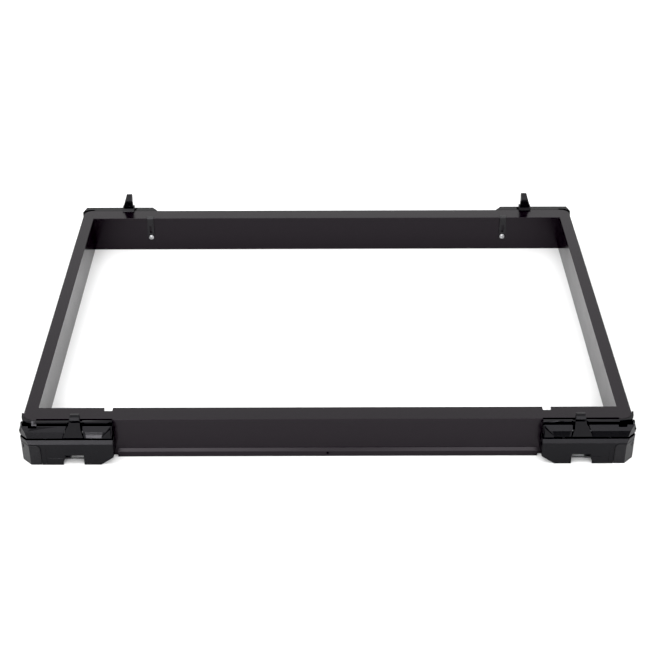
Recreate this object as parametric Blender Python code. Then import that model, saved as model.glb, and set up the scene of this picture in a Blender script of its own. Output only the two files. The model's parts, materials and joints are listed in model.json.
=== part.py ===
"""Stacking frame module of a seat box: a black rectangular tray frame with corner modules.

Four hollow rails meet in four moulded corner joints.  Each front corner carries a two-part
module with a sprung latch lever, and each rear corner carries a module with a fixed hook.
The latches and hooks hold the next frame that is stacked on top.

The origin is the centre of the bounding box at floor level.  X is the width, -Y the front and
+Z up.  Outlines are in millimetres, measured from the frame's centre plane (x), from its centre
line towards the front or the back (reach), and from the flange's top face (z, negative below).
"""
import math

import bmesh
import bpy
from mathutils import Vector

MM = 0.001
GAP = 0.3  # clearance left between touching pieces

# Frame
HALF_WIDTH = 250.0
HALF_DEPTH = 180.2
OPENING_HALF_WIDTH = 239.0
OPENING_HALF_DEPTH = 163.6
HEIGHT = 37.5
CORNER_RADIUS = 8.5
FLANGE_THICK = 2.5
WALL = 1.6
RECESS = 1.6  # how far the walls stand back from the flange's edges
LIP_PROUD = 1.2
LIP_TOP = -32.3
LIP_END = 174.0  # the cross rails' lips stop short of the modules
JOINT_LEG = 3.0
TONGUE_LENGTH = 18.0
ARC_STEPS = 6

# Front modules and latches
MODULE_INNER_X = 175.8
MODULE_SIDE_X = 252.4
MODULE_FACE = 192.0
FACET_X = 244.4  # where the front face turns into the 45 degree corner facet
SEAT = HALF_DEPTH - RECESS + GAP  # face that seats in the rail's recess
COVER_SIDE_X = 253.0
COVER_FACE = 190.1
RIB_BACK = 181.0  # the rib stands just in front of the flange
RIB_FRONT = 183.2
RIB_TOP = -0.9
RIB_END = 238.3
PARTING_TOP = -11.7
PARTING_BOTTOM = -13.8
PIVOT_REACH = 186.0
PIVOT_Z = -8.0
PIN_RADIUS = 1.2
SPRING_WIRE_RADIUS = 0.3
CATCH_REACH = 190.6
CATCH_Z = -31.6
CATCH_RADIUS = 0.6
LEVER_BOTTOM = -11.5
LEVER_BACK = 184.2

# Rear modules and hooks
REAR_INNER_X = 175.0
REAR_SIDE_X = 251.6
REAR_FACE = 188.3
HOOK_TOP = 16.8
TANG_BOTTOM = -14.0

# Tray clips and rail notches
NOTCH_X = 181.0
NOTCH_WIDTH = 7.0
NOTCH_BACK = OPENING_HALF_DEPTH + 4.7
CLIP_WIDTH = 6.5
CLIP_SCREW_Z = -21.7

# Screws: head radius, shank radius, head height
MODULE_SCREW = (3.0, 1.7, 1.4)
JOINT_SCREW = (2.3, 1.2, 1.2)
PAN_SCREW = (2.6, 1.5, 1.4)
ROUND_STEPS = 16

# The frame's centre line sits behind the origin by half of what the front reaches further.
NOSE_REACH = 192.2
FRAME_Y = (NOSE_REACH - REAR_FACE) / 2

FINISHES = {
    "powder_coat": ((0.012, 0.012, 0.013), 0.34, 0.0),
    "black_plastic": ((0.014, 0.014, 0.016), 0.42, 0.0),
    "bumper_plastic": ((0.020, 0.020, 0.022), 0.55, 0.0),
    "black_steel": ((0.020, 0.020, 0.021), 0.36, 0.6),
    "bright_steel": ((0.55, 0.55, 0.56), 0.28, 1.0),
}


class Corner:
    """One quarter of the frame: side is -1 left or +1 right, end is -1 front or +1 rear."""

    def __init__(self, side, end):
        self.side = side
        self.end = end
        self.tag = "right" if side > 0 else "left"
        self.row = "rear" if end > 0 else "front"

    def point(self, x, reach, z):
        return Vector((self.side * x, FRAME_Y + self.end * reach, HEIGHT + z)) * MM

    def in_plane(self, plane, a, b, depth):
        """A point of an outline drawn in the plan (XR), the side view (RZ) or the front (XZ)."""
        if plane == "XR":
            return self.point(a, b, depth)
        if plane == "RZ":
            return self.point(depth, a, b)
        return self.point(a, depth, b)


def add_object(name, bm, origin, finish=None, parent=None):
    """Make an object whose origin is the given world point, from a mesh in world places."""
    bmesh.ops.recalc_face_normals(bm, faces=bm.faces[:])
    bmesh.ops.translate(bm, verts=bm.verts[:], vec=-origin)
    mesh = bpy.data.meshes.new(name)
    bm.to_mesh(mesh)
    bm.free()
    item = bpy.data.objects.new(name, mesh)
    bpy.context.collection.objects.link(item)
    if parent is None:
        item.location = origin
    else:
        item.parent = parent
        item.location = origin - parent.location
    if finish is not None:
        paint(item, finish)
    return item


def paint(item, finish):
    colour, roughness, metallic = FINISHES[finish]
    material = bpy.data.materials.new(item.name + "_finish")
    material.use_nodes = True
    shader = material.node_tree.nodes["Principled BSDF"]
    shader.inputs["Base Color"].default_value = (*colour, 1.0)
    shader.inputs["Roughness"].default_value = roughness
    shader.inputs["Metallic"].default_value = metallic
    item.data.materials.append(material)


def bridge_rings(bm, rings):
    """Join successive rings with quads and close both ends."""
    count = len(rings[0])
    bm.faces.new(rings[0])
    bm.faces.new(list(reversed(rings[-1])))
    for lower, upper in zip(rings, rings[1:]):
        for i in range(count):
            j = (i + 1) % count
            bm.faces.new((lower[i], lower[j], upper[j], upper[i]))


def prism(name, corner, plane, outline, low, high, finish=None, origin=None, parent=None):
    """Extrude an outline between two depths."""
    bm = bmesh.new()
    rings = []
    for depth in (low, high):
        rings.append([bm.verts.new(corner.in_plane(plane, a, b, depth)) for a, b in outline])
    bridge_rings(bm, rings)
    if origin is None:
        origin = corner.point(HALF_WIDTH, HALF_DEPTH, 0.0)
    return add_object(name, bm, origin, finish, parent)


def as_guide(item):
    item.hide_render = True
    item.display_type = "WIRE"
    return item


def combine(target, guide, operation):
    as_guide(guide)
    modifier = target.modifiers.new(guide.name, "BOOLEAN")
    modifier.operation = operation
    modifier.solver = "EXACT"
    modifier.object = guide


def cut(target, guide):
    combine(target, guide, "DIFFERENCE")


def keep(target, guide):
    combine(target, guide, "INTERSECT")


def add(target, guide):
    combine(target, guide, "UNION")


def rectangle(a_low, a_high, b_low, b_high):
    return [(a_low, b_low), (a_high, b_low), (a_high, b_high), (a_low, b_high)]


def arc(centre_a, centre_b, radius, start_deg, end_deg, steps):
    points = []
    for i in range(steps + 1):
        angle = math.radians(start_deg + (end_deg - start_deg) * i / steps)
        points.append((centre_a + radius * math.cos(angle), centre_b + radius * math.sin(angle)))
    return points


def add_turned(bm, base, axis, profile):
    """Add one solid of revolution: profile is (radius, distance along the axis) pairs."""
    axis = axis.normalized()
    across = axis.orthogonal().normalized()
    third = axis.cross(across)
    rings = []
    for radius, distance in profile:
        ring = []
        for i in range(ROUND_STEPS):
            angle = 2 * math.pi * i / ROUND_STEPS
            spoke = across * math.cos(angle) + third * math.sin(angle)
            ring.append(bm.verts.new(base + (axis * distance + spoke * radius) * MM))
        rings.append(ring)
    bridge_rings(bm, rings)


def turned_group(name, places, profile, finish=None):
    """Equal turned solids in one object; places are (base point, axis) pairs."""
    bm = bmesh.new()
    for base, axis in places:
        add_turned(bm, base, axis, profile)
    return add_object(name, bm, places[0][0].copy(), finish)


def drive_screws(kind, places, body, hole, finish):
    """One object for each screw, and one guide that holds all their clearance holes."""
    for place in places:
        side = "right" if place[0].x > 0 else "left"
        turned_group(unused_name(f"{kind}_{side}"), [place], body, finish)
    return as_guide(turned_group(kind + "_holes", places, hole))


def unused_name(stem):
    number = 1
    while f"{stem}_{number}" in bpy.data.objects:
        number += 1
    return f"{stem}_{number}"


def flat_screws(kind, places, size, length):
    """Countersunk screws and the clearance holes that they need."""
    head, shank, head_height = size
    body = [(head, 0.0), (head, 0.2), (shank, head_height), (shank, length)]
    hole = [(head + GAP, -2.0), (head + GAP, 0.3), (shank + GAP, head_height + 0.4),
            (shank + GAP, length + 0.5)]
    return drive_screws(kind, places, body, hole, "black_steel")


def pan_screws(kind, places, size, length):
    """Pan-head screws whose heads stand proud, and the clearance holes that they need."""
    head, shank, head_height = size
    body = [(head * 0.72, 0.0), (head, head_height * 0.45), (head, head_height),
            (shank, head_height), (shank, length)]
    hole = [(shank + GAP, head_height), (shank + GAP, length + 0.5)]
    return drive_screws(kind, places, body, hole, "bright_steel")


# ---------------------------------------------------------------- frame

def rail_section(outer, inner):
    """Outer outline of a rail: flange on top, recessed walls, proud lip along the bottom."""
    lip = outer + LIP_PROUD
    wall = outer - RECESS
    back = inner + RECESS
    return [(outer, 0.0), (outer, -FLANGE_THICK), (wall, -FLANGE_THICK - 0.6),
            (wall, LIP_TOP + 1.7), (lip, LIP_TOP), (lip, -HEIGHT),
            (back, -HEIGHT), (back, -FLANGE_THICK - 0.6), (inner, -FLANGE_THICK), (inner, 0.0)]


def rail_cavity(outer, inner, shrink=0.0):
    low = inner + RECESS + WALL + shrink
    high = outer - RECESS - WALL - shrink
    return rectangle(low, high, -HEIGHT + WALL + shrink, -WALL - shrink)


def build_cross_rail(corner):
    """Front or rear rail: a hollow extrusion across the frame, with two notches."""
    half = OPENING_HALF_WIDTH - JOINT_LEG - GAP
    middle = corner.point(0.0, HALF_DEPTH, 0.0)
    section = rail_section(HALF_DEPTH, OPENING_HALF_DEPTH)
    rail = prism(corner.row + "_rail", corner, "RZ", section, -half, half, "powder_coat", middle)
    cavity = rail_cavity(HALF_DEPTH, OPENING_HALF_DEPTH)
    cut(rail, prism(corner.row + "_rail_cavity", corner, "RZ", cavity, -half - 1, half + 1))
    trim = rectangle(HALF_DEPTH - RECESS, HALF_DEPTH + 5.0, -HEIGHT - 1.0, -FLANGE_THICK - 3.0)
    for side in (-1, 1):
        ends = sorted((side * LIP_END, side * 255.0))
        cut(rail, prism(f"{corner.row}_lip_end_{side}", corner, "RZ", trim, *ends))
        centre = side * NOTCH_X
        plan = rectangle(centre - NOTCH_WIDTH / 2, centre + NOTCH_WIDTH / 2,
                         OPENING_HALF_DEPTH - 1.0, NOTCH_BACK)
        cut(rail, prism(f"{corner.row}_notch_{side}", corner, "XR", plan, -5.0, 1.0))
    return rail


def build_side_rail(corner):
    half = OPENING_HALF_DEPTH - JOINT_LEG - GAP
    middle = corner.point(HALF_WIDTH, 0.0, 0.0)
    section = rail_section(HALF_WIDTH, OPENING_HALF_WIDTH)
    rail = prism(corner.tag + "_rail", corner, "XZ", section, -half, half, "powder_coat", middle)
    cavity = rail_cavity(HALF_WIDTH, OPENING_HALF_WIDTH)
    cut(rail, prism(corner.tag + "_rail_cavity", corner, "XZ", cavity, -half - 1, half + 1))
    return rail


def joint_outline(outset, inset):
    """Plan of a corner joint, its outer edge grown by outset and its inner corner cut back."""
    x_end = OPENING_HALF_WIDTH - JOINT_LEG
    r_end = OPENING_HALF_DEPTH - JOINT_LEG
    inner_x = OPENING_HALF_WIDTH + inset
    inner_r = OPENING_HALF_DEPTH + inset
    rounding = arc(HALF_WIDTH - CORNER_RADIUS, HALF_DEPTH - CORNER_RADIUS,
                   CORNER_RADIUS + outset, 0, 90, ARC_STEPS)
    return [(x_end, inner_r), (inner_x, inner_r), (inner_x, r_end),
            (HALF_WIDTH + outset, r_end)] + rounding + [(x_end, HALF_DEPTH + outset)]


def build_corner_joint(corner):
    """Moulded corner that continues both rails' outlines and plugs into their hollows."""
    name = f"corner_joint_{corner.row}_{corner.tag}"
    levels = [(0.0, 0.0, 0.0), (-FLANGE_THICK, 0.0, 0.0), (-FLANGE_THICK - 0.6, -RECESS, RECESS),
              (-HEIGHT, -RECESS, RECESS)]
    bm = bmesh.new()
    rings = []
    for z, outset, inset in levels:
        rings.append([bm.verts.new(corner.point(x, r, z)) for x, r in joint_outline(outset, inset)])
    bridge_rings(bm, rings)
    joint = add_object(name, bm, corner.point(HALF_WIDTH, HALF_DEPTH, 0.0), "powder_coat")
    x_end = OPENING_HALF_WIDTH - JOINT_LEG
    r_end = OPENING_HALF_DEPTH - JOINT_LEG
    tongue = rail_cavity(HALF_DEPTH, OPENING_HALF_DEPTH, GAP)
    add(joint, prism(name + "_cross", corner, "RZ", tongue, x_end - TONGUE_LENGTH, x_end + 2))
    tongue = rail_cavity(HALF_WIDTH, OPENING_HALF_WIDTH, GAP)
    add(joint, prism(name + "_side", corner, "XZ", tongue, r_end - TONGUE_LENGTH, r_end + 2))
    return joint


# ---------------------------------------------------------------- front modules

def cap_solid(name, corner, grow, finish=None):
    """Bumper cap over the lower outer corner: an angled plate with one rounded top corner."""
    x_in = 235.4 - grow
    inner = MODULE_FACE - 3.0 - grow
    side = MODULE_SIDE_X + grow
    plan = [(x_in, MODULE_FACE + grow), (FACET_X, MODULE_FACE + grow),
            (side, MODULE_FACE - MODULE_SIDE_X + FACET_X), (side, 180.6 - grow),
            (249.2 - grow, 180.6 - grow), (249.2 - grow, 183.2), (243.2, inner), (x_in, inner)]
    top = -17.9 + grow
    radius = 4.0
    rounding = arc(x_in + radius, top - radius, radius, 180, 90, ARC_STEPS)
    front = [(x_in, -HEIGHT - grow)] + rounding + [(255.0, top), (255.0, -HEIGHT - grow)]
    cap = prism(name, corner, "XR", plan, -HEIGHT - grow, top, finish)
    keep(cap, prism(name + "_outline", corner, "XZ", front, 170.0, 200.0))
    return cap


def build_front_base(corner):
    """Lower block of a front module, with the slot that takes the latch of the unit below."""
    name = f"front_base_{corner.tag}"
    section = [(SEAT, PARTING_BOTTOM), (189.7, PARTING_BOTTOM), (191.6, -16.9),
               (MODULE_FACE, -HEIGHT), (SEAT, -HEIGHT)]
    base = prism(name, corner, "RZ", section, MODULE_INNER_X, MODULE_SIDE_X, "black_plastic")
    facet_end = MODULE_FACE - MODULE_SIDE_X + FACET_X
    plan = [(170.0, 175.0), (255.0, 175.0), (255.0, facet_end - 2.6),
            (FACET_X, MODULE_FACE), (FACET_X, 195.0), (170.0, 195.0)]
    keep(base, prism(name + "_plan", corner, "XR", plan, -40.0, 0.0))
    bevel = [(175.0, -29.3), (188.0, -38.35), (175.0, -38.35)]
    cut(base, prism(name + "_bevel", corner, "XZ", bevel, 170.0, 200.0))
    notch = [(200.5, -38.5), (200.5, -28.0), (216.0, -28.0), (216.0, -31.3), (218.9, -38.5)]
    cut(base, prism(name + "_notch", corner, "XZ", notch, 184.5, 200.0))
    passage = rectangle(200.7, 213.1, -38.6, -24.6)
    cut(base, prism(name + "_passage", corner, "XZ", passage, 170.0, 186.0))
    pocket = rectangle(200.3, 216.2, -30.0, -24.9)
    cut(base, prism(name + "_pocket", corner, "XZ", pocket, 184.2, 190.8))
    catch_hole = (corner.point(198.6, CATCH_REACH, CATCH_Z), Vector((corner.side, 0, 0)))
    bore = [(CATCH_RADIUS + GAP, 0.0), (CATCH_RADIUS + GAP, 20.2)]
    cut(base, turned_group(name + "_catch_hole", [catch_hole], bore))
    cut(base, cap_solid(name + "_cap_space", corner, GAP))
    return base


def build_catch_pin(corner):
    """Steel pin across the mouth of the slot, which the latch of the unit below hooks over."""
    place = (corner.point(199.0, CATCH_REACH, CATCH_Z), Vector((corner.side, 0, 0)))
    return turned_group(f"catch_pin_{corner.tag}", [place],
                        [(CATCH_RADIUS, 0.0), (CATCH_RADIUS, 19.4)], "black_steel")


LEVER_OUTLINE = [(207.8, 13.0), (209.3, 5.5), (210.6, 1.0), (212.5, -2.0),
                 (216.5, LEVER_BOTTOM - 0.5), (199.4, LEVER_BOTTOM - 0.5), (201.0, -3.0),
                 (200.8, 5.5), (200.8, 13.0)]


def lever_bay():
    """The lever's outline with a running gap all round, open at the top."""
    gap = 0.5
    return [(209.9 + gap, 4.0), (210.6 + gap, 1.0), (212.5 + gap, -2.0), (217.1 + gap, -13.8),
            (199.0 - gap, -13.8), (200.8 - gap, -3.0), (200.8 - gap, 4.0)]


def corner_wall():
    """Plan of the thin wall that follows the flange's rounded corner and ends in an ear."""
    inner = arc(HALF_WIDTH - CORNER_RADIUS, HALF_DEPTH - CORNER_RADIUS, CORNER_RADIUS + GAP,
                90, 0, ARC_STEPS)
    return inner + [(250.3, 170.5), (251.8, 170.5), (250.9, 176.5), (250.3, 178.5),
                    (249.4, 180.9), (247.5, 181.7), (RIB_END, 181.8),
                    (RIB_END, HALF_DEPTH + GAP)]


def build_front_cover(corner):
    """Upper block of a front module: a rib, a deep groove, two facets and the lever's bay."""
    name = f"front_cover_{corner.tag}"
    section = [(SEAT, PARTING_TOP), (SEAT, -4.0), (RIB_BACK, -4.0), (RIB_BACK, RIB_TOP),
               (RIB_FRONT, RIB_TOP), (RIB_FRONT, RIB_TOP - 0.6), (182.1, RIB_TOP - 1.0),
               (182.1, -9.0), (184.4, -9.0), (184.4, -3.4), (185.0, -2.9), (188.3, -6.8),
               (COVER_FACE, PARTING_TOP)]
    cover = prism(name, corner, "RZ", section, MODULE_INNER_X + 0.4, COVER_SIDE_X,
                  "black_plastic")
    plan = [(170.0, 175.0), (255.0, 175.0), (255.0, 180.6), (245.5, 190.1), (245.5, 195.0),
            (170.0, 195.0)]
    keep(cover, prism(name + "_plan", corner, "XR", plan, -40.0, 10.0))
    flank = [(170.0, 5.0), (250.7, 5.0), (250.9, -2.0), (COVER_SIDE_X, -9.0),
             (252.3, -13.0), (170.0, -13.0)]
    keep(cover, prism(name + "_flank", corner, "XZ", flank, 170.0, 200.0))
    clearing = [(RIB_END, 181.4), (249.6, 181.4), (249.6, 184.0), (244.6, 184.1),
                (244.4, 186.2), (237.5, 186.2), (237.6, 184.0), (RIB_END, 183.9)]
    cut(cover, prism(name + "_clearing", corner, "XR", clearing, -8.6, 1.0))
    lug = rectangle(242.8, 246.8, 182.5, 183.2)
    add(cover, prism(name + "_lug", corner, "XR", lug, -9.6, -2.0))
    skin = [(249.2, 180.4), (250.9, 180.4), (250.9, 183.6), (249.2, 185.2)]
    add(cover, prism(name + "_skin", corner, "XR", skin, -10.0, -1.2))
    add(cover, prism(name + "_corner_wall", corner, "XR", corner_wall(), -10.0, -0.1))
    shoulder = [(176.9, -2.9), (176.9, PARTING_TOP), (186.0, PARTING_TOP)]
    add(cover, prism(name + "_shoulder", corner, "XZ", shoulder, 184.6, 190.4))
    cut(cover, prism(name + "_bay", corner, "XZ", lever_bay(), 183.0, 195.0))
    ramp = [(188.1, -6.9), (188.3, -8.4), (189.1, -10.2), (190.3, PARTING_TOP - 0.3),
            (195.0, PARTING_TOP - 0.3), (195.0, -6.9)]
    thumb = prism(name + "_thumb", corner, "RZ", ramp, 180.0, 200.0)
    outline = [(183.0, -5.0), (198.8, -5.0), (196.5, -14.0), (185.4, -14.0)]
    keep(thumb, prism(name + "_thumb_outline", corner, "XZ", outline, 180.0, 200.0))
    cut(cover, thumb)
    return cover


def pin_hole(name, corner, radius, start, end):
    place = (corner.point(start, PIVOT_REACH, PIVOT_Z), Vector((corner.side, 0, 0)))
    return turned_group(name, [place], [(radius, 0.0), (radius, end - start)])


def build_latch(corner, cover):
    """Latch lever on its steel pin, with a torsion spring; both turn about the pin's axis."""
    axis = bpy.data.objects.new(f"latch_axis_{corner.tag}", None)
    axis.location = corner.point(207.0, PIVOT_REACH, PIVOT_Z)
    bpy.context.collection.objects.link(axis)
    name = f"latch_lever_{corner.tag}"
    section = [(190.0, LEVER_BOTTOM), (190.0, 4.1), (188.5, 4.4), (188.5, 7.1), (191.9, 7.4),
               (NOSE_REACH, 8.0), (190.1, 9.6), (189.9, 12.0), (187.3, 11.8), (186.6, 6.0),
               (186.2, 0.0), (LEVER_BACK, -4.5), (LEVER_BACK, -11.0), (185.2, LEVER_BOTTOM)]
    lever = prism(name, corner, "RZ", section, 197.0, 218.0, "black_plastic",
                  origin=axis.location.copy(), parent=axis)
    keep(lever, prism(name + "_outline", corner, "XZ", LEVER_OUTLINE, 180.0, 195.0))
    cut(lever, pin_hole(name + "_bore", corner, PIN_RADIUS + GAP, 190.0, 225.0))
    pocket = rectangle(205.2, 211.3, -14.0, -3.4)
    cut(lever, prism(name + "_spring_pocket", corner, "XZ", pocket, 180.0, 188.6))
    place = (corner.point(196.6, PIVOT_REACH, PIVOT_Z), Vector((corner.side, 0, 0)))
    pin = turned_group(f"latch_pin_{corner.tag}", [place],
                       [(PIN_RADIUS, 0.0), (PIN_RADIUS, 22.0)], "bright_steel")
    cut(cover, pin_hole(f"front_cover_{corner.tag}_bore", corner, PIN_RADIUS + GAP, 196.2, 219.0))
    build_spring(corner, axis)
    return lever, pin


def spring_path():
    """Centre line of the torsion spring: lower leg, five turns, upper leg."""
    mean = 1.95
    first_x = 206.0
    pitch = 0.95
    turns = 5
    steps = 12
    path = [(first_x, PIVOT_REACH - mean, PIVOT_Z - 4.2)]
    for i in range(turns * steps + 1):
        angle = math.pi + 2 * math.pi * i / steps
        path.append((first_x + pitch * i / steps, PIVOT_REACH + mean * math.cos(angle),
                     PIVOT_Z + mean * math.sin(angle)))
    path.append((first_x + pitch * turns, PIVOT_REACH - 1.3, PIVOT_Z + 6.2))
    return path


def build_spring(corner, axis):
    """Torsion spring round the pin: one leg points down and one goes up behind the lever."""
    name = f"latch_spring_{corner.tag}"
    path = spring_path()
    curve = bpy.data.curves.new(name, "CURVE")
    curve.dimensions = "3D"
    curve.bevel_depth = SPRING_WIRE_RADIUS * MM
    curve.bevel_resolution = 1
    curve.use_fill_caps = True
    spline = curve.splines.new("POLY")
    spline.points.add(len(path) - 1)
    for knot, (x, reach, z) in zip(spline.points, path):
        knot.co = (*(corner.point(x, reach, z) - axis.location), 1.0)
    spring = bpy.data.objects.new(name, curve)
    bpy.context.collection.objects.link(spring)
    spring.parent = axis
    paint(spring, "bright_steel")
    return spring


# ---------------------------------------------------------------- rear modules

def build_rear_module(corner):
    """Block behind the rear rail that wraps the corner and holds the hook."""
    name = f"rear_module_{corner.tag}"
    front = HALF_DEPTH + GAP
    section = [(front, 0.0), (front, -2.8), (SEAT, -3.6), (SEAT, -HEIGHT), (REAR_FACE, -HEIGHT),
               (REAR_FACE, -0.8), (REAR_FACE - 0.8, 0.0)]
    module = prism(name, corner, "RZ", section, REAR_INNER_X, REAR_SIDE_X, "black_plastic")
    plan = [(REAR_INNER_X - 0.4, 175.0), (REAR_SIDE_X + 0.1, 175.0), (REAR_SIDE_X + 0.1, 177.0),
            (248.4, REAR_FACE + 0.1), (181.2, REAR_FACE + 0.1), (REAR_INNER_X - 0.4, 179.9)]
    keep(module, prism(name + "_plan", corner, "XR", plan, -40.0, 10.0))
    ear = [(250.4, 170.2), (REAR_SIDE_X, 177.0), (250.4, 181.4)]
    add(module, prism(name + "_ear", corner, "XR", ear, -11.0, 0.0))
    crescent = [(239.3, 178.0), (240.2, 182.8), (247.2, 182.1), (250.2, 177.6), (250.2, 170.0),
                (245.0, 172.0)]
    cut(module, prism(name + "_crescent", corner, "XR", crescent, -8.0, 2.0))
    socket = rectangle(199.3, 210.3, 183.1, 185.9)
    cut(module, prism(name + "_socket", corner, "XR", socket, TANG_BOTTOM - GAP, 2.0))
    side_slot = rectangle(197.0, 198.4, 181.2, 186.4)
    cut(module, prism(name + "_side_slot", corner, "XR", side_slot, -3.0, 2.0))
    hook_space = rectangle(198.4, 211.3, 182.8, 187.5)
    cut(module, prism(name + "_hook_space", corner, "XR", hook_space, -40.0, -19.8))
    nose_space = rectangle(198.4, 211.3, -27.6, -19.8)
    cut(module, prism(name + "_nose_space", corner, "XZ", nose_space, 175.0, 184.0))
    return module


def build_rear_hook(corner):
    """Hook with a foot on the flange, a post that narrows upwards and a tang in the module."""
    name = f"rear_hook_{corner.tag}"
    section = [(177.4, GAP), (177.6, 0.9), (180.0, 2.6), (183.2, 2.7), (183.2, 9.0),
               (180.2, 9.9), (180.4, 11.6), (183.8, HOOK_TOP), (185.6, HOOK_TOP),
               (187.2, 14.6), (187.2, GAP), (185.6, GAP), (185.6, TANG_BOTTOM),
               (183.4, TANG_BOTTOM), (183.4, GAP)]
    hook = prism(name, corner, "RZ", section, 197.0, 212.0, "black_plastic")
    front = [(198.9, 3.0), (198.9, 0.7), (199.6, 0.7), (199.6, -15.0), (210.0, -15.0),
             (210.0, 0.7), (210.8, 0.7), (210.8, 3.0), (210.3, 3.0), (205.5, 18.5),
             (200.3, 18.5), (200.3, 3.0)]
    keep(hook, prism(name + "_outline", corner, "XZ", front, 170.0, 190.0))
    return hook


def build_tray_clip(corner):
    """Bent steel strap in a rail notch: a tab over the edge and a keyed tail down the wall."""
    name = f"tray_clip_{corner.tag}"
    face = OPENING_HALF_DEPTH + 0.1
    back = OPENING_HALF_DEPTH + RECESS - GAP
    section = [(face, -26.0), (back, -26.0), (back, -1.6), (back + 0.5, -1.0),
               (NOTCH_BACK - GAP, -1.0), (NOTCH_BACK - GAP, 0.2), (back, 0.2), (face, -0.8)]
    clip = prism(name, corner, "RZ", section, NOTCH_X - 5.0, NOTCH_X + 5.0, "black_steel")
    half = CLIP_WIDTH / 2
    end = arc(NOTCH_X, CLIP_SCREW_Z, 3.7, -30, -150, 8)
    front = [(NOTCH_X - half, 1.0), (NOTCH_X - half, -19.0)] + end[::-1] + \
            [(NOTCH_X + half, -19.0), (NOTCH_X + half, 1.0)]
    keep(clip, prism(name + "_outline", corner, "XZ", front, 160.0, 172.0))
    window = rectangle(NOTCH_X - 1.2, NOTCH_X + 1.2, -17.0, -9.0)
    cut(clip, prism(name + "_window", corner, "XZ", window, 160.0, 172.0))
    return clip


# ---------------------------------------------------------------- fasteners

def along(corner, direction):
    """World direction of x, reach or z, as seen from this corner."""
    x, reach, z = direction
    return Vector((corner.side * x, corner.end * reach, z))


def fit_screws(corners, pieces):
    """Place every screw group and drill its holes through the pieces that it holds."""
    fronts = [c for c in corners if c.row == "front"]
    rears = [c for c in corners if c.row == "rear"]

    places = [(c.point(x, OPENING_HALF_DEPTH + RECESS + 0.1, -20.0), along(c, (0, 1, 0)))
              for c in fronts for x in (186.0, 224.0)]
    holes = flat_screws("front_module_screw", places, MODULE_SCREW, 20.0)
    cut(pieces["front_rail"], holes)
    for c in fronts:
        cut(pieces["corner_joint_front_" + c.tag], holes)
        cut(pieces["front_base_" + c.tag], holes)

    places = [(c.point(x, REAR_FACE - 0.2, -24.0), along(c, (0, -1, 0)))
              for c in rears for x in (186.0, 224.0)]
    holes = flat_screws("rear_module_screw", places, MODULE_SCREW, 16.0)
    cut(pieces["rear_rail"], holes)
    for c in rears:
        cut(pieces["corner_joint_rear_" + c.tag], holes)
        cut(pieces["rear_module_" + c.tag], holes)

    places = [(c.point(x, 186.5, 0.2 - HEIGHT), Vector((0, 0, 1)))
              for c in fronts for x in (193.0, 231.0)]
    holes = flat_screws("cover_screw", places, MODULE_SCREW, 28.0)
    for c in fronts:
        cut(pieces["front_base_" + c.tag], holes)
        cut(pieces["front_cover_" + c.tag], holes)

    places = []
    for c in corners:
        places.append((c.point(229.0, 171.9, 0.2 - HEIGHT), Vector((0, 0, 1))))
        places.append((c.point(244.5, 150.0, 0.2 - HEIGHT), Vector((0, 0, 1))))
    holes = flat_screws("corner_joint_screw", places, JOINT_SCREW, 8.0)
    for rail in ("front_rail", "rear_rail", "left_rail", "right_rail"):
        cut(pieces[rail], holes)
    for c in corners:
        cut(pieces[f"corner_joint_{c.row}_{c.tag}"], holes)

    head_height = PAN_SCREW[2]
    places = [(c.point(NOTCH_X, OPENING_HALF_DEPTH - GAP + 0.1 - head_height, CLIP_SCREW_Z),
               along(c, (0, 1, 0))) for c in rears]
    holes = pan_screws("clip_screw", places, PAN_SCREW, 9.0)
    cut(pieces["rear_rail"], holes)
    for c in rears:
        cut(pieces["tray_clip_" + c.tag], holes)

    places = [(c.point(204.2, REAR_FACE - 0.2, -8.0), along(c, (0, -1, 0))) for c in rears]
    holes = flat_screws("hook_screw", places, JOINT_SCREW, 3.6)
    for c in rears:
        cut(pieces["rear_module_" + c.tag], holes)
        cut(pieces["rear_hook_" + c.tag], holes)


def build():
    corners = [Corner(side, end) for end in (-1, 1) for side in (-1, 1)]
    made = [build_cross_rail(Corner(1, -1)), build_cross_rail(Corner(1, 1)),
            build_side_rail(Corner(-1, 1)), build_side_rail(Corner(1, 1))]
    for corner in corners:
        made.append(build_corner_joint(corner))
        if corner.row == "front":
            made.append(build_front_base(corner))
            made.append(cap_solid(f"corner_cap_{corner.tag}", corner, 0.0, "bumper_plastic"))
            cover = build_front_cover(corner)
            made.append(cover)
            made.append(build_catch_pin(corner))
            made.extend(build_latch(corner, cover))
        else:
            made.append(build_rear_module(corner))
            made.append(build_rear_hook(corner))
            made.append(build_tray_clip(corner))
    fit_screws(corners, {item.name: item for item in made})


for old in list(bpy.data.objects):
    bpy.data.objects.remove(old, do_unlink=True)
build()
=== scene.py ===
"""Looks of the seat box stacking frame: fine meshes, materials, soft studio light and the camera.

The rails and the corner joints are modelled here again with rounded edges.  The moulded pieces
are bevelled copies of the CAD solids with a few details added, and the screws get drive
recesses.  Outlines are in millimetres, as in the CAD: x from the frame's centre plane, reach
from its centre line towards the front or the back, z from the flange's top (negative below).
"""

import json
import math

import bmesh
import bpy
from mathutils import Matrix, Vector

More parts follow.
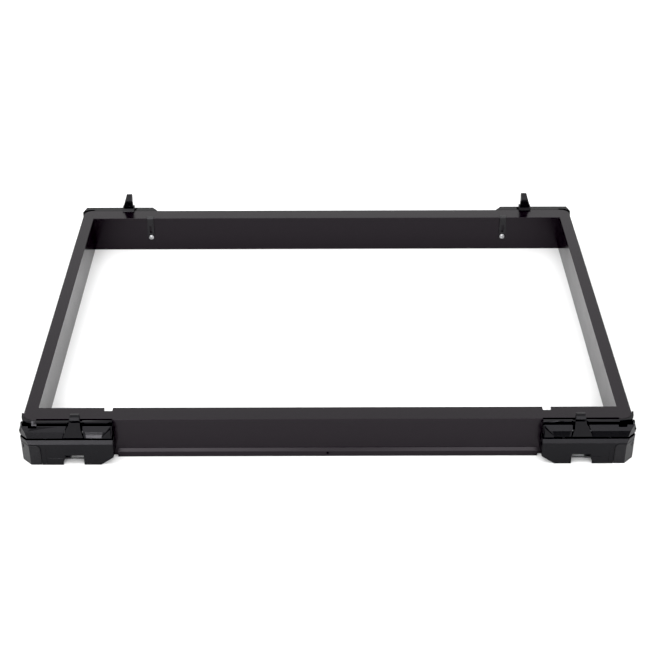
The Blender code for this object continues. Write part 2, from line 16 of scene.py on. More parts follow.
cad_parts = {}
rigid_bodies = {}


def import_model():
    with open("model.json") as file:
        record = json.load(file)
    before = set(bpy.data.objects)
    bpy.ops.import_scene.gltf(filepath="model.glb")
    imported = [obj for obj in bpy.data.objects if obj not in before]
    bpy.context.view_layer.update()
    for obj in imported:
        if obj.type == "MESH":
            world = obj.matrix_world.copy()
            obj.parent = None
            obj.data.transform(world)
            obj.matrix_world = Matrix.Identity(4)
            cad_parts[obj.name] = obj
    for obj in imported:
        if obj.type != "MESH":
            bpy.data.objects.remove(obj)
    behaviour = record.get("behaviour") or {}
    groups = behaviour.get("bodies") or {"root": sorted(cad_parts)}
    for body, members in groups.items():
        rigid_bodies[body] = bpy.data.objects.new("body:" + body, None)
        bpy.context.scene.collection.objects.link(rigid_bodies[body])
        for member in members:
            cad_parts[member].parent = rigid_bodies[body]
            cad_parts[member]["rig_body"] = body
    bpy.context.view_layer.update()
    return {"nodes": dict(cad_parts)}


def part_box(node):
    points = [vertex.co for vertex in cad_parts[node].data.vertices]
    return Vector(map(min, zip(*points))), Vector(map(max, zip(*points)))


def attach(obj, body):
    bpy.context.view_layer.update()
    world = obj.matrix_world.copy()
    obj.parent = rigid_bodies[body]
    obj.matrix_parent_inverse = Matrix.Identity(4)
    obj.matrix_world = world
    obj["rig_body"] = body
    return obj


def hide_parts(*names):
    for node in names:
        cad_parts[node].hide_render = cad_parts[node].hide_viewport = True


MM = 0.001
WELD = 0.000002  # distance at which split vertices are joined, in metres

# The frame's driving sizes, as in the CAD
HALF_WIDTH = 250.0
HALF_DEPTH = 180.2
OPENING_HALF_WIDTH = 239.0
OPENING_HALF_DEPTH = 163.6
HEIGHT = 37.5
FRAME_Y = 1.95
CORNER_RADIUS = 8.5
FLANGE_THICK = 2.5
WALL = 1.6
RECESS = 1.6
LIP_PROUD = 1.2
LIP_TOP = -32.3
LIP_SLOPE = 1.7  # how far the lip's top rises towards the wall
LIP_OVERLAP = 0.6  # how deep the lip's solid starts inside the wall
LIP_END = 174.0
JOINT_LEG = 3.0
TONGUE_LENGTH = 18.0
NOTCH_X = 181.0
NOTCH_WIDTH = 7.0
NOTCH_DEPTH = 4.7
NOTCH_ROUNDING = 0.8
FLANGE_STEP = 1.1  # how far the front flange's edge stands back behind the modules' ribs
SEAM = 0.01  # gap between a rail's end and its corner joint
SKY = 1.35  # brightness of the white surroundings
BLACK_POINT = 0.0055  # linear brightness that is shown as black
WHITE = (1.0, 1.0, 1.0, 1.0)
PLUM = (1.0, 0.93, 1.0, 1.0)  # cast of the powder coat's sheen
SLATE = (0.95, 0.93, 1.0, 1.0)  # cast of the mouldings' sheen

SIDES = {"left": -1, "right": 1}
ROWS = {"front": -1, "rear": 1}


# ---------------------------------------------------------------- mesh helpers

class Corner:
    """One quarter of the frame: side is -1 left or +1 right, end is -1 front or +1 rear."""

    def __init__(self, tag, row):
        self.tag = tag
        self.row = row
        self.side = SIDES[tag]
        self.end = ROWS[row]

    def point(self, x, reach, z):
        return Vector((self.side * x, FRAME_Y + self.end * reach, HEIGHT + z)) * MM

    def in_plane(self, plane, a, b, depth):
        """A point of an outline drawn in the plan (XR), the side view (RZ) or the front (XZ)."""
        if plane == "XR":
            return self.point(a, b, depth)
        if plane == "RZ":
            return self.point(depth, a, b)
        return self.point(a, depth, b)


def arc(centre_a, centre_b, radius, start_deg, end_deg, steps):
    points = []
    for i in range(steps + 1):
        angle = math.radians(start_deg + (end_deg - start_deg) * i / steps)
        points.append((centre_a + radius * math.cos(angle), centre_b + radius * math.sin(angle)))
    return points


def rectangle(a_low, a_high, b_low, b_high):
    return [(a_low, b_low), (a_high, b_low), (a_high, b_high), (a_low, b_high)]


def fillet(before, at, after, radius, steps=4):
    """The points that round off the corner of an outline at a point between two others."""
    corner = Vector(at)
    back = Vector(before) - corner
    ahead = Vector(after) - corner
    reach = min(radius / math.tan(back.angle(ahead) / 2), 0.48 * min(back.length, ahead.length))
    start = corner + back.normalized() * reach
    end = corner + ahead.normalized() * reach
    points = []
    for i in range(steps + 1):
        t = i / steps
        points.append(tuple(start * (1 - t) ** 2 + corner * 2 * t * (1 - t) + end * t * t))
    return points


def bridge_rings(bm, rings):
    """Join successive rings with quads and close both ends."""
    count = len(rings[0])
    bm.faces.new(rings[0])
    bm.faces.new(list(reversed(rings[-1])))
    for lower, upper in zip(rings, rings[1:]):
        for i in range(count):
            j = (i + 1) % count
            bm.faces.new((lower[i], lower[j], upper[j], upper[i]))


def new_object(name, bm):
    bmesh.ops.recalc_face_normals(bm, faces=bm.faces[:])
    mesh = bpy.data.meshes.new(name)
    bm.to_mesh(mesh)
    bm.free()
    item = bpy.data.objects.new(name, mesh)
    bpy.context.collection.objects.link(item)
    return item


def prism(name, corner, plane, outline, low, high):
    """Extrude an outline between two depths."""
    bm = bmesh.new()
    rings = []
    for depth in (low, high):
        rings.append([bm.verts.new(corner.in_plane(plane, a, b, depth)) for a, b in outline])
    bridge_rings(bm, rings)
    return new_object(name, bm)


def combine(target, tool, operation):
    """Apply a Boolean with the tool object, then remove the tool."""
    modifier = target.modifiers.new("combine", "BOOLEAN")
    modifier.operation = operation
    modifier.solver = "EXACT"
    modifier.object = tool
    graph = bpy.context.evaluated_depsgraph_get()
    mesh = bpy.data.meshes.new_from_object(target.evaluated_get(graph))
    target.modifiers.clear()
    target.data = mesh
    bpy.data.objects.remove(tool, do_unlink=True)


def flat_faces(bm):
    """Join split vertices and coplanar triangles."""
    bmesh.ops.remove_doubles(bm, verts=bm.verts[:], dist=WELD)
    bmesh.ops.dissolve_limit(bm, angle_limit=math.radians(0.4), verts=bm.verts[:],
                             edges=bm.edges[:], delimit={"NORMAL"})


def face_reach(face, edge):
    """How far a face reaches from one of its edges."""
    start = edge.verts[0].co
    along = (edge.verts[1].co - start).normalized()
    spans = []
    for vert in face.verts:
        offset = vert.co - start
        spans.append((offset - along * offset.dot(along)).length)
    return max(spans)


def bevel_edges(bm, width, segments, min_angle_deg=15.0):
    """Round the sharp edges whose two faces are wide enough for it."""
    chosen = []
    for edge in bm.edges:
        if len(edge.link_faces) != 2 or edge.calc_face_angle(0.0) < math.radians(min_angle_deg):
            continue
        if edge.calc_length() < 1.2 * width:
            continue
        if min(face_reach(face, edge) for face in edge.link_faces) > 2.4 * width:
            chosen.append(edge)
    bmesh.ops.bevel(bm, geom=chosen, offset=width, offset_type="OFFSET", segments=segments,
                    profile=0.5, affect="EDGES", clamp_overlap=True)


def rework(item, bevel_width=None):
    """Clean a finished Boolean result, and round its edges if a width is given."""
    bm = bmesh.new()
    bm.from_mesh(item.data)
    flat_faces(bm)
    if bevel_width is not None:
        bevel_edges(bm, bevel_width * MM, 3)
    bm.to_mesh(item.data)
    bm.free()


def smooth(item, angle_deg=40.0):
    """Shade smooth up to an angle, with normals that keep the flat faces flat."""
    item.data.shade_smooth()
    item.data.set_sharp_from_angle(angle=math.radians(angle_deg))
    weigh = item.modifiers.new("even_normals", "WEIGHTED_NORMAL")
    weigh.keep_sharp = True
    weigh.weight = 80


def dress(item, material, nodes):
    """Paint a finished piece, put it on its nodes' body and let it stand for them."""
    item.data.materials.clear()
    item.data.materials.append(material)
    body = frame["nodes"][nodes[0]]["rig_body"]
    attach(item, body)
    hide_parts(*nodes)
    return item


# ---------------------------------------------------------------- materials

class Shading:
    """A material under construction: its nodes, its links and its Principled shader."""

    def __init__(self, name, colour, roughness, metallic=0.0, ior=1.45, tint=WHITE):
        self.material = bpy.data.materials.new(name)
        self.material.use_nodes = True
        self.tree = self.material.node_tree
        self.shader = self.tree.nodes["Principled BSDF"]
        self.shader.inputs["Base Color"].default_value = (*colour, 1.0)
        self.shader.inputs["Roughness"].default_value = roughness
        self.shader.inputs["Metallic"].default_value = metallic
        self.shader.inputs["IOR"].default_value = ior
        self.shader.inputs["Specular Tint"].default_value = tint
        self.place = self.tree.nodes.new("ShaderNodeTexCoord").outputs["Object"]

    def link(self, source, target):
        self.tree.links.new(source, target)

    def noise(self, cell_mm, detail=2.0, stretch=(1.0, 1.0, 1.0)):
        """Noise whose cells are about cell_mm across."""
        scale = self.tree.nodes.new("ShaderNodeMapping")
        scale.inputs["Scale"].default_value = stretch
        self.link(self.place, scale.inputs["Vector"])
        node = self.tree.nodes.new("ShaderNodeTexNoise")
        node.inputs["Scale"].default_value = 1.0 / (cell_mm * MM)
        node.inputs["Detail"].default_value = detail
        self.link(scale.outputs["Vector"], node.inputs["Vector"])
        return node.outputs["Fac"]

    def ramp(self, value, low, high, from_low=0.3, from_high=0.7):
        """Map a value range to low...high."""
        node = self.tree.nodes.new("ShaderNodeMapRange")
        node.inputs["From Min"].default_value = from_low
        node.inputs["From Max"].default_value = from_high
        node.inputs["To Min"].default_value = low
        node.inputs["To Max"].default_value = high
        self.link(value, node.inputs["Value"])
        return node.outputs["Result"]

    def math(self, operation, first, second):
        node = self.tree.nodes.new("ShaderNodeMath")
        node.operation = operation
        for socket, value in zip(node.inputs, (first, second)):
            if isinstance(value, (int, float)):
                socket.default_value = value
            else:
                self.link(value, socket)
        return node.outputs["Value"]

    def worn_edges(self, radius_mm, strength):
        """Large where the surface turns over an edge."""
        bevel = self.tree.nodes.new("ShaderNodeBevel")
        bevel.samples = 4
        bevel.inputs["Radius"].default_value = radius_mm * MM
        true_normal = self.tree.nodes.new("ShaderNodeNewGeometry").outputs["Normal"]
        dot = self.tree.nodes.new("ShaderNodeVectorMath")
        dot.operation = "DOT_PRODUCT"
        self.link(bevel.outputs["Normal"], dot.inputs[0])
        self.link(true_normal, dot.inputs[1])
        turned = self.math("SUBTRACT", 1.0, dot.outputs["Value"])
        rubbed = self.ramp(self.noise(9.0, 4.0), 0.0, strength, 0.42, 0.66)
        return self.math("MULTIPLY", turned, rubbed)

    def colour(self, low, high, amount):
        """Mix two colours by an amount."""
        node = self.tree.nodes.new("ShaderNodeMix")
        node.data_type = "RGBA"
        node.inputs["A"].default_value = (*low, 1.0)
        node.inputs["B"].default_value = (*high, 1.0)
        self.link(amount, node.inputs["Factor"])
        self.link(node.outputs["Result"], self.shader.inputs["Base Color"])

    def bump(self, height, distance_mm, strength=1.0, under=None):
        node = self.tree.nodes.new("ShaderNodeBump")
        node.inputs["Distance"].default_value = distance_mm * MM
        node.inputs["Strength"].default_value = strength
        self.link(height, node.inputs["Height"])
        if under is not None:
            self.link(under, node.inputs["Normal"])
        self.link(node.outputs["Normal"], self.shader.inputs["Normal"])
        return node.outputs["Normal"]


def powder_coat(name):
    """Satin black powder coat: shallow orange peel, a little dust in the sheen, rubbed edges."""
    look = Shading(name, (0.002, 0.001, 0.002), 0.2, ior=1.3, tint=PLUM)
    cloud = look.noise(38.0, 3.0)
    speckle = look.noise(0.7, 2.0)
    rough = look.math("ADD", look.ramp(cloud, 0.15, 0.22), look.ramp(speckle, -0.02, 0.03))
    look.link(rough, look.shader.inputs["Roughness"])
    tone = look.math("ADD", look.ramp(speckle, 0.0, 0.5), look.worn_edges(0.7, 1.6))
    look.colour((0.0014, 0.0003, 0.0015), (0.006, 0.0048, 0.0058), tone)
    peel = look.bump(look.noise(1.5, 2.0), 0.02, 0.22)
    look.bump(speckle, 0.008, 0.18, under=peel)
    return look.material


def moulded_plastic(name, colour, roughness, grain_mm, grain_depth_mm, ior=1.25, wear=1.2):
    """Black moulding: spark-eroded grain, faint flow clouds and slightly polished edges."""
    look = Shading(name, colour, roughness, ior=ior, tint=SLATE)
    cloud = look.noise(24.0, 3.0)
    grain = look.noise(grain_mm, 3.0)
    rough = look.math("ADD", look.ramp(cloud, roughness - 0.03, roughness + 0.04),
                      look.ramp(grain, -0.04, 0.05))
    look.link(rough, look.shader.inputs["Roughness"])
    light = tuple(2.6 * channel + 0.002 for channel in colour)
    tone = look.math("ADD", look.ramp(grain, 0.0, 0.6), look.worn_edges(0.6, wear))
    look.colour(colour, light, tone)
    look.bump(grain, grain_depth_mm, 0.5)
    return look.material


def brushed_metal(name, colour, roughness, stretch=(1.0, 1.0, 1.0), metallic=1.0):
    """Turned or ground steel: fine marks in one direction and a thin film of oil."""
    look = Shading(name, colour, roughness, metallic)
    marks = look.noise(0.25, 4.0, stretch)
    film = look.noise(3.0, 3.0)
    rough = look.math("ADD", look.ramp(marks, roughness - 0.06, roughness + 0.08),
                      look.ramp(film, -0.04, 0.05))
    look.link(rough, look.shader.inputs["Roughness"])
    darker = tuple(0.72 * channel for channel in colour)
    look.colour(darker, colour, look.ramp(film, 0.2, 1.0))
    look.bump(marks, 0.006, 0.35)
    return look.material


def make_materials():
    return {
        "powder_coat": powder_coat("powder_coat"),
        "joint_plastic": powder_coat("joint_coat"),
        "module_plastic": moulded_plastic("module_plastic", (0.0010, 0.0010, 0.0012), 0.22,
                                          0.45, 0.012),
        "cover_plastic": moulded_plastic("cover_plastic", (0.0010, 0.0010, 0.0012), 0.15,
                                         0.45, 0.006),
        "bumper_plastic": moulded_plastic("bumper_plastic", (0.0025, 0.0025, 0.0027), 0.3,
                                          0.8, 0.035, ior=1.28),
        "latch_plastic": moulded_plastic("latch_plastic", (0.0010, 0.0010, 0.0011), 0.18,
                                         0.4, 0.008, ior=1.25),
        "clip_steel": moulded_plastic("clip_steel", (0.002, 0.002, 0.002), 0.25, 0.5, 0.01,
                                      ior=1.35, wear=2.0),
        "black_screw": brushed_metal("black_screw", (0.045, 0.045, 0.047), 0.34, metallic=0.8),
        "screw_steel": brushed_metal("screw_steel", (0.42, 0.42, 0.43), 0.36),
        # bright_steel is darker than bare steel: partly a film of oil, partly painted shade for the
        # pins and springs in the shaded bays
        "bright_steel": brushed_metal("bright_steel", (0.2, 0.2, 0.205), 0.34, (0.1, 1.0, 1.0)),
    }


# ---------------------------------------------------------------- rails and corner joints

def edge_setback():
    """How far a rail's faces stand back from the flange's edges: (z, setback) from the top."""
    top = [(z, 0.3 + s) for s, z in arc(0.0, -0.3, 0.3, 90, 180, 4)]
    lower = [(-FLANGE_THICK + 0.3 + z, 0.3 - s)
             for s, z in arc(0.0, 0.0, 0.3, 0, -90, 3)]
    fillet = [(-FLANGE_THICK - 0.05, RECESS - 0.4), (-FLANGE_THICK - 0.2, RECESS - 0.1),
              (-FLANGE_THICK - 0.6, RECESS)]
    foot = [(-HEIGHT + 0.4, RECESS), (-HEIGHT + 0.12, RECESS + 0.12), (-HEIGHT, RECESS + 0.4)]
    return top + lower + fillet + foot


def rail_section(outer, inner):
    down = [(outer - setback, z) for z, setback in edge_setback()]
    up = [(inner + setback, z) for z, setback in reversed(edge_setback())]
    return down + up


def lip_section(outer):
    """The lip along the bottom of a rail's outer wall, with a sloping top and rounded edges."""
    wall = outer - RECESS
    inside = wall - LIP_OVERLAP
    proud = outer + LIP_PROUD
    slope_top = LIP_TOP + LIP_SLOPE
    shoulder = fillet((wall, slope_top), (proud, LIP_TOP), (proud, -HEIGHT), 0.5)
    foot = fillet((proud, LIP_TOP), (proud, -HEIGHT), (wall, -HEIGHT), 0.35)
    return [(inside, slope_top), (wall, slope_top)] + shoulder + foot + [(inside, -HEIGHT)]


def cavity(outer, inner, shrink=0.0):
    wall = RECESS + WALL + shrink
    return rectangle(inner + wall, outer - wall, -HEIGHT + WALL + shrink, -WALL - shrink)


def build_rail(name, corner, plane, outer, inner, half, lips):
    """A hollow rail: its section along its whole length, with the lip where lips say."""
    rail = prism(name, corner, plane, rail_section(outer, inner), -half, half)
    for start, end in lips:
        combine(rail, prism("lip", corner, plane, lip_section(outer), start, end), "UNION")
    combine(rail, prism("hollow", corner, plane, cavity(outer, inner), -half - 1, half + 1),
            "DIFFERENCE")
    return rail


def cut_notches(rail, corner):
    for side in (-1, 1):
        left = side * NOTCH_X - NOTCH_WIDTH / 2
        right = side * NOTCH_X + NOTCH_WIDTH / 2
        rounding = NOTCH_ROUNDING
        back = OPENING_HALF_DEPTH + NOTCH_DEPTH - rounding
        plan = [(left, OPENING_HALF_DEPTH - 1.0), (right, OPENING_HALF_DEPTH - 1.0)]
        plan += arc(right - rounding, back, rounding, 0, 90, 4)
        plan += arc(left + rounding, back, rounding, 90, 180, 4)
        combine(rail, prism("notch", corner, "XR", plan, -5.0, 1.0), "DIFFERENCE")


def joint_outline(setback, steps=14):
    """Plan of a corner joint whose outer edge and inner corner both stand back by setback."""
    x_end = OPENING_HALF_WIDTH - JOINT_LEG
    r_end = OPENING_HALF_DEPTH - JOINT_LEG
    inner_x = OPENING_HALF_WIDTH + setback
    inner_r = OPENING_HALF_DEPTH + setback
    rounding = arc(HALF_WIDTH - CORNER_RADIUS, HALF_DEPTH - CORNER_RADIUS,
                   CORNER_RADIUS - setback, 0, 90, steps)
    return [(x_end, inner_r), (inner_x, inner_r), (inner_x, r_end),
            (HALF_WIDTH - setback, r_end)] + rounding + [(x_end, HALF_DEPTH - setback)]


def build_joint(name, corner):
    bm = bmesh.new()
    rings = []
    for z, setback in edge_setback():
        rings.append([bm.verts.new(corner.point(x, r, z)) for x, r in joint_outline(setback)])
    bridge_rings(bm, rings)
    joint = new_object(name, bm)
    x_end = OPENING_HALF_WIDTH - JOINT_LEG
    r_end = OPENING_HALF_DEPTH - JOINT_LEG
    tongue = cavity(HALF_DEPTH, OPENING_HALF_DEPTH, 0.3)
    combine(joint, prism("tongue", corner, "RZ", tongue, x_end - TONGUE_LENGTH, x_end + 2),
            "UNION")
    tongue = cavity(HALF_WIDTH, OPENING_HALF_WIDTH, 0.3)
    combine(joint, prism("tongue", corner, "XZ", tongue, r_end - TONGUE_LENGTH, r_end + 2),
            "UNION")
    return joint


def build_frame_pieces(materials):
    """Rails and corner joints with the same section, so that they read as one smooth frame."""
    half = OPENING_HALF_WIDTH - JOINT_LEG - SEAM
    for row in ROWS:
        corner = Corner("right", row)
        rail = build_rail(f"{row}_rail_fine", corner, "RZ", HALF_DEPTH, OPENING_HALF_DEPTH, half,
                          [(-LIP_END, LIP_END)])
        cut_notches(rail, corner)
        if row == "front":
            drill_drain(rail, corner)
            set_back_edge(rail, [Corner(tag, row) for tag in SIDES])
        finish_coated(rail, f"{row}_rail", materials)
    half = OPENING_HALF_DEPTH - JOINT_LEG - SEAM
    for tag in SIDES:
        corner = Corner(tag, "rear")
        rail = build_rail(f"{tag}_rail_fine", corner, "XZ", HALF_WIDTH, OPENING_HALF_WIDTH, half,
                          [(-half, half)])
        finish_coated(rail, f"{tag}_rail", materials)
        for row in ROWS:
            joint = build_joint(f"corner_joint_{row}_{tag}_fine", Corner(tag, row))
            if row == "front":
                set_back_edge(joint, [Corner(tag, row)])
            finish_coated(joint, f"corner_joint_{row}_{tag}", materials)


def set_back_edge(item, corners):
    """Step the flange's front edge back a little behind the modules' ribs."""
    for corner in corners:
        step = rectangle(HALF_DEPTH - FLANGE_STEP, HALF_DEPTH + 1.0, -FLANGE_THICK - 0.9, 1.0)
        combine(item, prism("step", corner, "RZ", step, 176.0, 238.4), "DIFFERENCE")


def drill_drain(rail, corner):
    """A small drain hole through the middle of the front lip."""
    outline = arc(0.0, -34.0, 1.1, 0, 345, 23)
    combine(rail, prism("drain", corner, "XZ", outline, HALF_DEPTH - 6.0, HALF_DEPTH + 3.0),
            "DIFFERENCE")


def finish_coated(item, node, materials):
    """Drill the screw holes and paint a rail or a corner joint."""
    for screw in screws_through(node):
        combine(item, screw.hole_tool(), "DIFFERENCE")
    rework(item)
    smooth(item, 32.0)
    slot = "joint_plastic" if "joint" in node else "powder_coat"
    dress(item, materials[slot], [node])


# ---------------------------------------------------------------- screws

class Screw:
    """A screw's place and size, read from its CAD node's box."""

    CLEARANCE = 0.3
    SMALL_HEAD = 2.6  # radius of the smaller heads: their shanks and cones are smaller too

    def __init__(self, node):
        low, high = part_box(node)
        size = (high - low) / MM
        middle = (low + high) / 2
        self.node = node
        self.pan = node.startswith("clip_screw")
        self.upright = abs(size.z - size.x) > abs(size.y - size.x)
        self.length = size.z if self.upright else size.y
        self.head = size.x / 2
        self.large = self.head > self.SMALL_HEAD
        if self.upright:
            self.axis = Vector((0, 0, 1))
            self.base = Vector((middle.x, middle.y, low.z))
        else:
            inward = 1 if (middle.y > 0) == self.from_inside() else -1
            self.axis = Vector((0, inward, 0))
            self.base = Vector((middle.x, low.y if inward > 0 else high.y, middle.z))

    def from_inside(self):
        """Screws driven from inside the opening: the front modules' and the clips'."""
        return self.node.startswith(("front_module", "clip"))

    def shank(self):
        if self.pan:
            return 1.5
        return 1.7 if self.large else 1.2

    def cone(self):
        """Depth of a countersunk head."""
        return 1.4 if self.large else 1.2

    def turned(self, name, profile, steps=40):
        """A solid of revolution about the screw's axis."""
        across = Vector((1, 0, 0))
        third = self.axis.cross(across)
        bm = bmesh.new()
        rings = []
        for radius, distance in profile:
            ring = []
            for i in range(steps):
                angle = 2 * math.pi * i / steps
                spoke = across * math.cos(angle) + third * math.sin(angle)
                ring.append(bm.verts.new(self.base + (self.axis * distance + spoke * radius) * MM))
            rings.append(ring)
        bridge_rings(bm, rings)
        return new_object(name, bm)

    def hole_tool(self):
        """Clearance hole: countersunk and open towards the head's side, or plain for a pan head."""
        wide = self.head + self.CLEARANCE
        narrow = self.shank() + self.CLEARANCE
        if self.pan:
            profile = [(narrow, 0.3), (narrow, self.length + 0.5)]
        else:
            profile = [(wide, -2.0), (wide, 0.3), (narrow, self.cone() + 0.4),
                       (narrow, self.length + 0.5)]
        return self.turned("hole", profile)

    def body_profile(self):
        head = self.head
        shank = self.shank()
        if self.pan:
            dome = []
            for degrees in range(20, 91, 10):
                angle = math.radians(degrees)
                dome.append((head * math.sin(angle), 1.12 * (1 - math.cos(angle))))
            return dome + [(head, 1.4), (shank, 1.4), (shank, self.length)]
        return [(head - 0.12, 0.0), (head, 0.1), (head, 0.25), (shank, self.cone()),
                (shank, self.length)]

    def build(self, material, slot):
        item = self.turned(self.node + "_fine", self.body_profile())
        half = 0.2 * self.head
        for turn in (0.0, math.pi / 2):
            combine(item, self.blade(half, turn), "DIFFERENCE")
        smooth(item, 30.0)
        dress(item, material, [self.node])

    def blade(self, half, turn):
        """One arm of the cross recess."""
        across = Vector((1, 0, 0))
        third = self.axis.cross(across)
        long_way = across * math.cos(turn) + third * math.sin(turn)
        short_way = self.axis.cross(long_way)
        reach = self.head * 0.62
        rings = []
        bm = bmesh.new()
        for depth, shrink in ((-1.0, 1.0), (1.0, 0.72)):
            ring = []
            for a, b in rectangle(-reach * shrink, reach * shrink, -half, half):
                place = self.axis * depth + long_way * a + short_way * b
                ring.append(bm.verts.new(self.base + place * MM))
            rings.append(ring)
        bridge_rings(bm, rings)
        return new_object("blade", bm)


def all_screws():
    return [Screw(node) for node in sorted(frame["nodes"]) if "_screw_" in node]


def screws_through(node):
    """The screws whose boxes overlap a node's box."""
    low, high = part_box(node)
    found = []
    for screw in all_screws():
        start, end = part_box(screw.node)
        if all(start[i] < high[i] and end[i] > low[i] for i in range(3)):
            found.append(screw)
    return found


def build_screws(materials):
    for screw in all_screws():
        slot = "screw_steel" if screw.pan else "black_screw"
        screw.build(materials[slot], slot)


# ---------------------------------------------------------------- moulded pieces

def fine_copy(node, width, extra=None):
    """A bevelled copy of a CAD node, after extra has added its details."""
    bm = bmesh.new()
    bm.from_mesh(frame["nodes"][node].data)
    flat_faces(bm)
    item = new_object(node + "_fine", bm)
    if extra is not None:
        extra(item)
    rework(item, width)
    smooth(item)
    return item


def base_details(corner):
    """A shallow panel step and a seam on the front of the lower block."""
    def add(item):
        step = [(191.2, -30.6), (192.06, -30.6), (192.18, -31.0), (192.18, -37.3), (191.2, -37.3)]
        combine(item, prism("step", corner, "RZ", step, 217.6, 229.4), "UNION")
        seam = rectangle(230.9, 231.2, 191.6, 193.0)
        combine(item, prism("seam", corner, "XR", seam, -38.0, -17.5), "DIFFERENCE")
    return add


def cover_details(corner):
    """The rib's top strip, level with the flange, and the slope of the thumb recess."""
    def add(item):
        strip = [(181.0, -1.3), (181.0, -0.15), (183.2, -0.15), (183.2, -1.3)]
        for start, end in ((176.2, 200.3), (211.4, 238.4)):
            combine(item, prism("strip", corner, "RZ", strip, start, end), "UNION")
        slope = [(187.7, -7.0), (190.05, -12.05), (195.0, -12.05), (195.0, -7.0)]
        outline = [(183.0, -5.0), (198.8, -5.0), (196.5, -14.0), (185.4, -14.0)]
        thumb = prism("thumb", corner, "RZ", slope, 180.0, 200.0)
        combine(thumb, prism("thumb_outline", corner, "XZ", outline, 180.0, 200.0), "INTERSECT")
        combine(item, thumb, "DIFFERENCE")
    return add


def lever_details(corner):
    """The nose's top leans back a little."""
    def add(item):
        above = [(186.0, 11.3), (190.6, 12.1), (190.6, 14.0), (186.0, 14.0)]
        combine(item, prism("above", corner, "RZ", above, 195.0, 215.0), "DIFFERENCE")
    return add


def clip_details(corner):
    """A pressed groove down the strap's face, on both sides of its window."""
    def add(item):
        for start, end in ((NOTCH_X - 2.4, NOTCH_X - 1.9), (NOTCH_X + 1.9, NOTCH_X + 2.4)):
            groove = rectangle(OPENING_HALF_DEPTH - 1.0, OPENING_HALF_DEPTH + 0.45, -19.0, -3.0)
            combine(item, prism("groove", corner, "RZ", groove, start, end), "DIFFERENCE")
    return add


def cap_details(corner):
    """A small drain slot low on the cap's corner facet."""
    def add(item):
        slot = rectangle(249.9, 250.5, 183.0, 190.0)
        combine(item, prism("slot", corner, "XR", slot, -23.5, -19.8), "DIFFERENCE")
    return add


def build_moulded_pieces(materials):
    """Modules, caps, levers, hooks and clips: the CAD's shapes with rounded edges."""
    for tag in SIDES:
        front = Corner(tag, "front")
        recipes = [
            (f"front_base_{tag}", 0.35, base_details(front), "module_plastic"),
            (f"front_cover_{tag}", 0.25, cover_details(front), "cover_plastic"),
            (f"corner_cap_{tag}", 0.5, cap_details(front), "bumper_plastic"),
            (f"latch_lever_{tag}", 0.3, lever_details(front), "latch_plastic"),
            (f"rear_module_{tag}", 0.35, None, "module_plastic"),
            (f"rear_hook_{tag}", 0.4, None, "latch_plastic"),
            (f"tray_clip_{tag}", 0.2, clip_details(Corner(tag, "rear")), "clip_steel"),
        ]
        for node, width, extra, slot in recipes:
            dress(fine_copy(node, width, extra), materials[slot], [node])


def paint_kept_nodes(materials):
    """Pins and springs keep their CAD meshes and get steel, darkened partly for a film of oil and
    partly as painted shade.
    """
    for node, item in frame["nodes"].items():
        if item.hide_render:
            continue
        slot = "clip_steel" if node.startswith("catch_pin") else "bright_steel"
        item.data.materials.clear()
        item.data.materials.append(materials[slot])


# ---------------------------------------------------------------- studio

def build_floor():
    bpy.ops.mesh.primitive_plane_add(size=60.0, location=(0.0, 0.0, 0.0))
    floor = bpy.context.object
    floor.name = "floor"
    look = Shading("white_floor", (0.85, 0.85, 0.85), 0.9)
    look.colour((0.845, 0.845, 0.845), (0.855, 0.855, 0.855), look.noise(60.0, 2.0))
    floor.data.materials.append(look.material)


def add_softbox(name, place, target, size, power):
    light = bpy.data.lights.new(name, "AREA")
    light.shape = "RECTANGLE"
    light.size, light.size_y = size
    light.energy = power
    item = bpy.data.objects.new(name, light)
    bpy.context.collection.objects.link(item)
    item.location = place
    item.rotation_euler = (Vector(target) - Vector(place)).to_track_quat("-Z", "Y").to_euler()
    return item


def build_world():
    """White surroundings with a dimmer patch low on the front right, like an unlit doorway."""
    world = bpy.data.worlds.new("studio")
    world.use_nodes = True
    tree = world.node_tree
    background = tree.nodes["Background"]
    background.inputs["Color"].default_value = (1.0, 1.0, 1.0, 1.0)
    direction = tree.nodes.new("ShaderNodeTexCoord").outputs["Generated"]
    facing = tree.nodes.new("ShaderNodeVectorMath")
    facing.operation = "DOT_PRODUCT"
    facing.inputs[1].default_value = Vector((0.36, -0.92, 0.1)).normalized()
    tree.links.new(direction, facing.inputs[0])
    dim = tree.nodes.new("ShaderNodeMapRange")
    dim.interpolation_type = "SMOOTHSTEP"
    dim.inputs["From Min"].default_value = 0.90
    dim.inputs["From Max"].default_value = 0.985
    dim.inputs["To Min"].default_value = SKY
    dim.inputs["To Max"].default_value = 0.3 * SKY
    tree.links.new(facing.outputs["Value"], dim.inputs["Value"])
    tree.links.new(dim.outputs["Result"], background.inputs["Strength"])
    bpy.context.scene.world = world


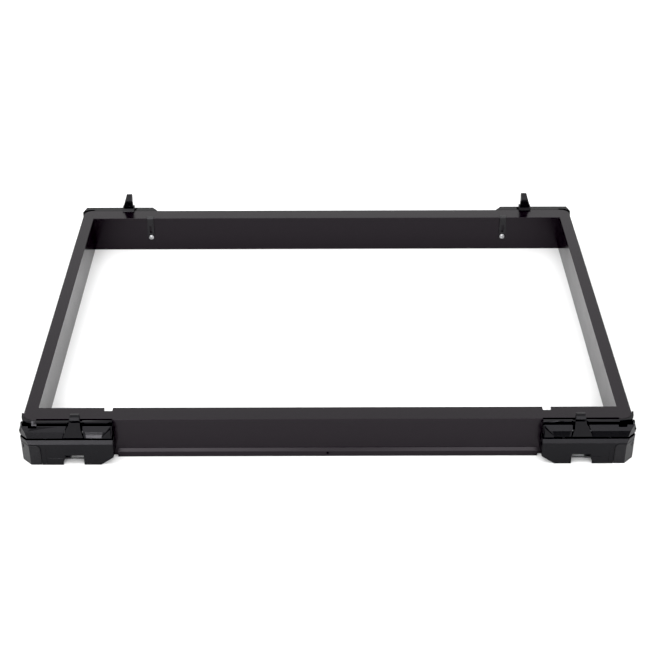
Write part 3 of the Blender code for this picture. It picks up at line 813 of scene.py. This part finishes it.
def build_lights():
    add_softbox("front_box", (0.2, -2.35, 1.3), (0.0, -0.19, 0.0), (3.0, 0.5), 28.0)
    add_softbox("high_box", (-0.2, -1.85, 1.8), (0.0, -0.19, 0.0), (2.4, 0.6), 9.0)
    add_softbox("top_box_left", (-0.6, -0.5, 1.7), (-0.2, -0.2, 0.0), (0.8, 0.9), 9.0)
    add_softbox("top_box_right", (0.45, -0.65, 1.7), (0.2, -0.2, 0.0), (0.9, 0.6), 5.5)
    add_softbox("key_box", (-0.85, -2.55, 0.72), (-0.2, -0.2, 0.0), (0.7, 0.4), 15.0)
    add_softbox("low_box", (-0.85, -2.6, 0.35), (-0.2, -0.2, 0.0), (0.8, 0.25), 1.5)


def build_camera():
    """The camera was fitted to the frame's corners: where it stands, and how it is turned."""
    place = Vector((-0.00163, -1.09315, 0.71983))
    pitch = 0.5734
    yaw = 0.0003
    roll = 0.0029
    forward = Vector((0, math.cos(pitch), -math.sin(pitch)))
    upward = Vector((0, math.sin(pitch), math.cos(pitch)))
    turn = Matrix.Rotation(yaw, 3, "Z")
    forward = turn @ forward
    upward = turn @ upward
    rightward = turn @ Vector((1, 0, 0))
    image_x = rightward * math.cos(roll) - upward * math.sin(roll)
    image_y = rightward * math.sin(roll) + upward * math.cos(roll)
    camera = bpy.data.cameras.new("camera")
    camera.sensor_width = 36.0
    camera.lens = 77.16
    camera.clip_start = 0.01
    item = bpy.data.objects.new("camera", camera)
    bpy.context.collection.objects.link(item)
    pose = Matrix((image_x, image_y, -forward)).transposed().to_4x4()
    pose.translation = place
    item.matrix_world = pose
    bpy.context.scene.camera = item


def set_tone():
    """Plain display colours, with the darkest shades run to black."""
    view = bpy.context.scene.view_settings
    view.view_transform = "Standard"
    view.use_curve_mapping = True
    view.curve_mapping.black_level = (BLACK_POINT, BLACK_POINT, BLACK_POINT)


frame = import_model()
build_camera()
finishes = make_materials()
build_frame_pieces(finishes)
build_moulded_pieces(finishes)
build_screws(finishes)
paint_kept_nodes(finishes)
build_floor()
build_world()
build_lights()
set_tone()
